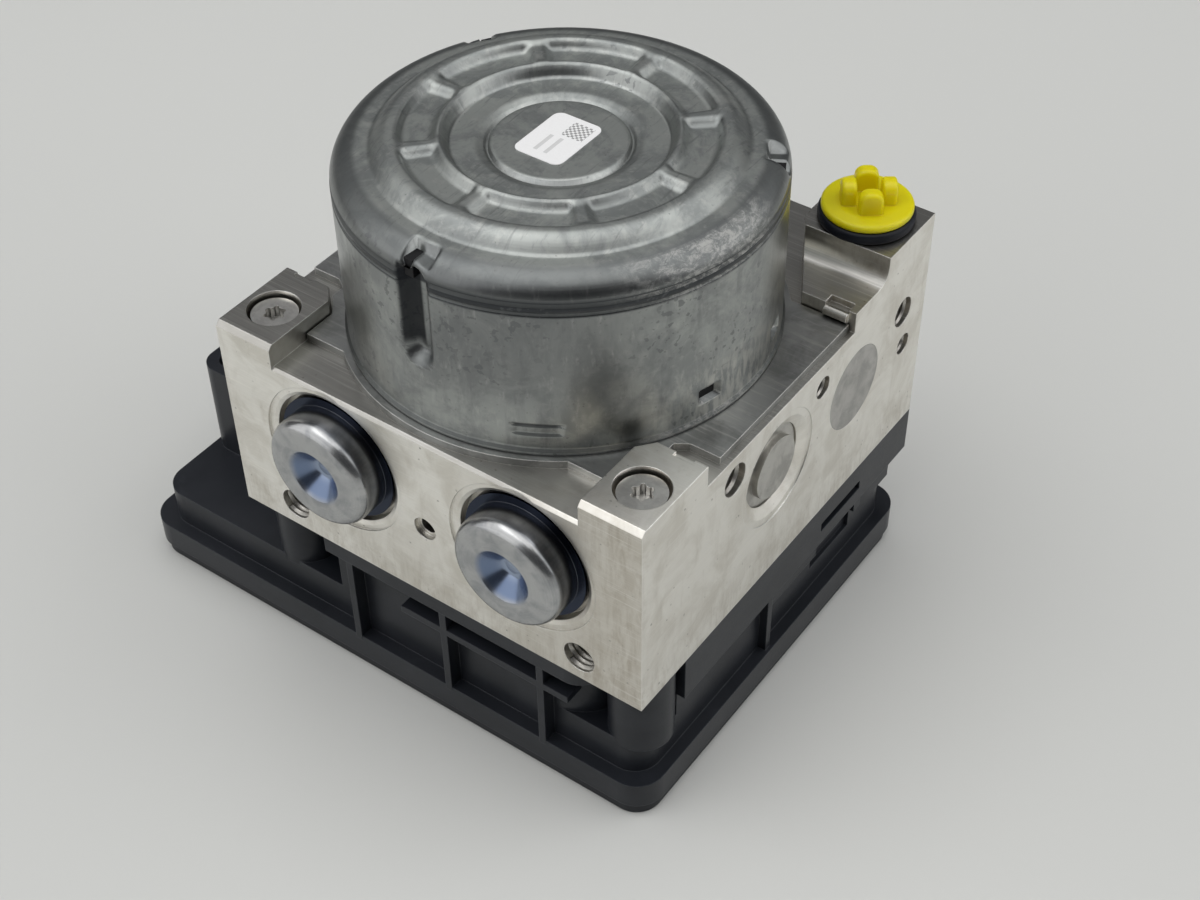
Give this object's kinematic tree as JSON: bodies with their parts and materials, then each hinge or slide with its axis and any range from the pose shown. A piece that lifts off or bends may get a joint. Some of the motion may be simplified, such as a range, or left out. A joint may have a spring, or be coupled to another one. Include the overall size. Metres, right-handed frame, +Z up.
{
  "type": "abs brake module",
  "caption": "Hydraulic anti-lock brake module: machined valve block with a pump motor above, a control unit below and plugged line ports.",
  "frame": {"origin": "on the pump motor's axis, in the bottom plane of the control unit's cover", "axes": "+Z up along the motor's axis, -Y towards the face with the two accumulator caps, +X towards the face with the pump plug, the connector shroud at -X"},
  "size_m": [0.1158, 0.0928, 0.1027],
  "materials": {
    "block_alloy": "milled",
    "zinc_steel": "drawn, zinc plated",
    "plate_steel": "stamped, zinc plated",
    "cap_steel": "polished",
    "plug_alloy": "turned",
    "turned_steel": "turned",
    "spring_steel": "drawn wire",
    "core_steel": "stacked sheet",
    "screw_steel": "zinc plated",
    "copper": "enamelled wire",
    "contact_metal": "tinned",
    "ferrite": "sintered",
    "carbon": "pressed carbon",
    "inner_plastic": "moulded",
    "black_plastic": "moulded, fine grain",
    "yellow_plastic": "moulded",
    "rubber_seal": "moulded",
    "plug_rubber": "moulded",
    "membrane": "woven",
    "board": "solder mask",
    "chip": "moulded"
  },
  "bodies": {
    "base": {"accumulator_cap_left": "cap_steel", "accumulator_cap_right": "cap_steel", "accumulator_spring_left": "spring_steel", "accumulator_spring_right": "spring_steel", "ball_plugs": "turned_steel", "board_parts": "chip", "brush_holder": "inner_plastic", "brush_springs": "spring_steel", "brushes": "carbon", "circuit_board": "board", "coil_bobbins": "inner_plastic", "coil_terminals": "contact_metal", "coil_windings": "copper", "coil_yokes": "core_steel", "connector_blades": "contact_metal", "connector_pins": "contact_metal", "contact_guide": "inner_plastic", "damper_discs": "plug_alloy", "ecu_cover": "black_plastic", "ecu_gasket": "rubber_seal", "ecu_housing": "black_plastic", "housing_screws": "screw_steel", "inlet_valves": "turned_steel", "magnets": "ferrite", "main_bearing": "turned_steel", "motor_can": "zinc_steel", "motor_contacts": "contact_metal", "motor_plate": "plate_steel", "nose_bearing": "turned_steel", "outlet_valves": "turned_steel", "plug_seal_left": "plug_rubber", "plug_seal_right": "plug_rubber", "pump_piston_left": "turned_steel", "pump_piston_right": "turned_steel", "pump_plug_left": "plug_alloy", "pump_plug_right": "plug_alloy", "pump_sleeve_left": "turned_steel", "pump_sleeve_right": "turned_steel", "pump_spring_left": "spring_steel", "pump_spring_right": "spring_steel", "shaft_seal": "rubber_seal", "transport_plug_left": "yellow_plastic", "transport_plug_right": "yellow_plastic", "upper_bearing": "turned_steel", "valve_block": "block_alloy", "valve_filters": "inner_plastic", "vent_membrane": "membrane"},
    "rotor": {"motor_shaft": "turned_steel", "armature_core": "core_steel", "windings": "copper", "commutator": "copper", "eccentric": "turned_steel", "eccentric_bearing": "turned_steel"},
    "accumulator_left": {"accumulator_piston_left": "inner_plastic", "accumulator_seal_left": "rubber_seal"},
    "accumulator_right": {"accumulator_piston_right": "inner_plastic", "accumulator_seal_right": "rubber_seal"}
  },
  "joints": [
    {"name": "rotor_spin", "type": "hinge", "parent": "base", "child": "rotor", "pos_m": [0, 0, 0.0531], "axis": [0, 0, 1], "continuous": true},
    {"name": "accumulator_left_slide", "type": "slide", "parent": "base", "child": "accumulator_left", "axis": [0, -1, 0], "range_m": [0, 0.007], "stiffness_N_per_m": 1500, "springref_m": -0.01, "deforming": ["accumulator_spring_left"]},
    {"name": "accumulator_right_slide", "type": "slide", "parent": "base", "child": "accumulator_right", "axis": [0, -1, 0], "range_m": [0, 0.007], "stiffness_N_per_m": 1500, "springref_m": -0.01, "deforming": ["accumulator_spring_right"]}
  ]
}
